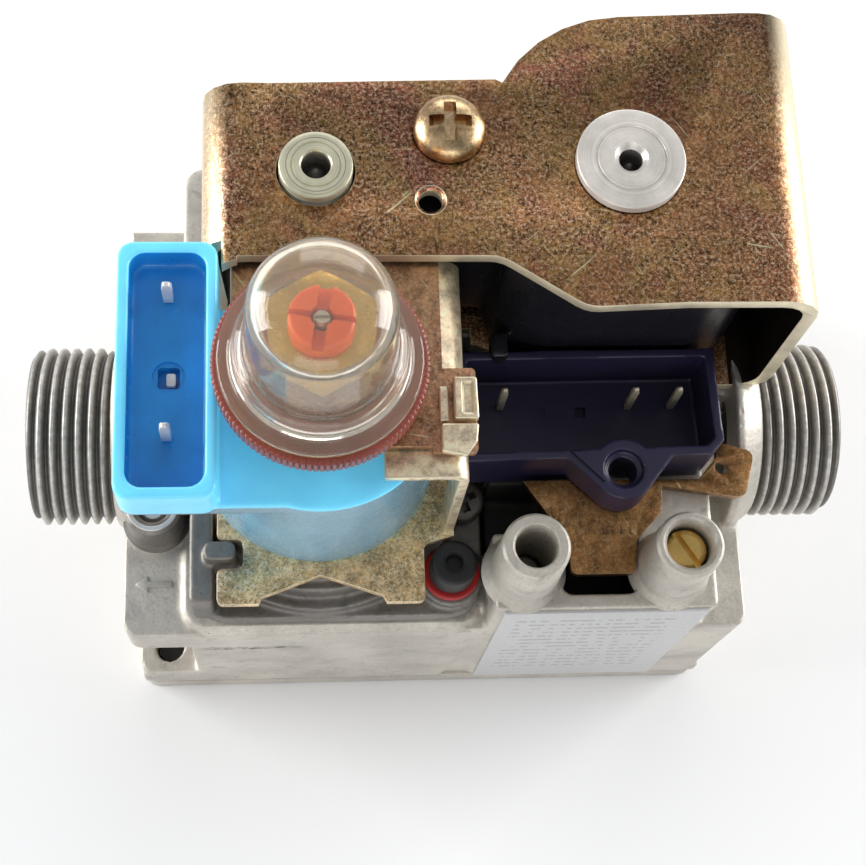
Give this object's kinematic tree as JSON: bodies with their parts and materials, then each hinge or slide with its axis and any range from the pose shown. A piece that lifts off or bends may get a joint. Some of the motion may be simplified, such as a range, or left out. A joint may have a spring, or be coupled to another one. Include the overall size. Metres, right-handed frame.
{
  "type": "gas valve",
  "caption": "Boiler gas valve: die-cast body with threaded ends, double solenoid under a bent bracket, and a modulating regulator with a blue coil and clear cap.",
  "frame": {"origin": "back face of the rear cover, midway between the threaded ends and under their common axis", "axes": "+X along the gas connections from outlet to inlet, +Y towards the solenoids' side away from the label, +Z out of the back through the operators"},
  "size_m": [0.1192, 0.0767, 0.109],
  "materials": {
    "cast_body": "satin die-cast",
    "yellow_steel": "yellow-passivated zinc",
    "steel": "turned",
    "brass": "turned",
    "black_plastic": "satin",
    "navy_plastic": "satin",
    "blue_plastic": "gloss",
    "red_plastic": "satin",
    "orange_plastic": "gloss",
    "black_rubber": "matte",
    "label": "satin",
    "clear": "clear plastic"
  },
  "bodies": {
    "valve": {"valve_body": "cast_body", "rear_cover": "cast_body", "regulator_cover": "cast_body", "ev_bracket": "yellow_steel", "bracket_screw": "yellow_steel", "earth_plate": "yellow_steel", "modulator_yoke": "yellow_steel", "modulator_top_plate": "yellow_steel", "rear_screw_1": "steel", "rear_screw_2": "steel", "rear_screw_3": "steel", "rear_screw_4": "steel", "inlet_filter": "steel", "regulator_cover_screw_1": "steel", "regulator_cover_screw_2": "steel", "diaphragm_plate": "steel", "regulator_spring": "steel", "ev1_tube": "steel", "ev1_core": "steel", "ev1_spring": "steel", "ev2_tube": "steel", "ev2_core": "steel", "ev2_spring": "steel", "modulator_pin_1": "steel", "modulator_pin_2": "steel", "modulator_spring": "steel", "connector_pin_1": "brass", "connector_pin_2": "brass", "connector_pin_3": "brass", "modulator_tube": "brass", "coil_block": "black_plastic", "coil_connector": "navy_plastic", "modulator_coil": "blue_plastic", "knurled_ring": "red_plastic", "plug_seal": "red_plastic", "rear_gasket": "black_rubber", "diaphragm": "black_rubber", "breather_plug": "black_rubber", "label_plate": "label"},
    "ev1_armature": {"ev1_plunger": "steel", "ev1_valve_disc": "black_rubber"},
    "ev2_armature": {"ev2_plunger": "steel", "ev2_valve_disc": "black_rubber"},
    "modulator_armature": {"modulator_plunger": "steel"},
    "cap": {"clear_cap": "clear"},
    "max_nut": {"max_adjust_nut": "brass"},
    "min_knob": {"min_adjust_knob": "orange_plastic", "centre_screw": "steel"},
    "inlet_screw": {"inlet_test_screw": "brass"},
    "outlet_screw": {"outlet_test_screw": "brass"},
    "offset_tap_screw": {"offset_screw": "steel"}
  },
  "joints": [
    {"name": "ev1_lift", "type": "slide", "parent": "valve", "child": "ev1_armature", "axis": [0, 0, 1], "range_m": [0, 0.003], "stiffness_N_per_m": 250, "springref_m": -0.004, "deforming": ["ev1_spring"]},
    {"name": "ev2_lift", "type": "slide", "parent": "valve", "child": "ev2_armature", "axis": [0, 0, 1], "range_m": [0, 0.003], "stiffness_N_per_m": 200, "springref_m": -0.004, "deforming": ["ev2_spring"]},
    {"name": "modulator_push", "type": "slide", "parent": "valve", "child": "modulator_armature", "axis": [0, 0, -1], "range_m": [0, 0.0025], "stiffness_N_per_m": 300, "springref_m": -0.003, "deforming": ["modulator_spring", "regulator_spring"]},
    {"name": "cap_lift", "type": "slide", "parent": "valve", "child": "cap", "axis": [0, 0, 1], "range_m": [0, 0.03]},
    {"name": "max_nut_turn", "type": "hinge", "parent": "valve", "child": "max_nut", "pos_m": [-0.018, -0.0068, 0.095], "axis": [0, 0, 1], "range_deg": [-360, 360]},
    {"name": "min_knob_turn", "type": "hinge", "parent": "max_nut", "child": "min_knob", "pos_m": [-0.018, -0.0068, 0.095], "axis": [0, 0, 1], "range_deg": [-180, 180]},
    {"name": "inlet_screw_turn", "type": "hinge", "parent": "valve", "child": "inlet_screw", "pos_m": [0.0315, -0.0254, 0.062], "axis": [0, 0, 1], "range_deg": [0, 360]},
    {"name": "outlet_screw_turn", "type": "hinge", "parent": "valve", "child": "outlet_screw", "pos_m": [0.0107, -0.0254, 0.054], "axis": [0, 0, 1], "range_deg": [0, 360]},
    {"name": "offset_screw_turn", "type": "hinge", "parent": "valve", "child": "offset_tap_screw", "pos_m": [-0.0416, -0.0139, 0.046], "axis": [0, 0, 1], "range_deg": [0, 360]}
  ]
}
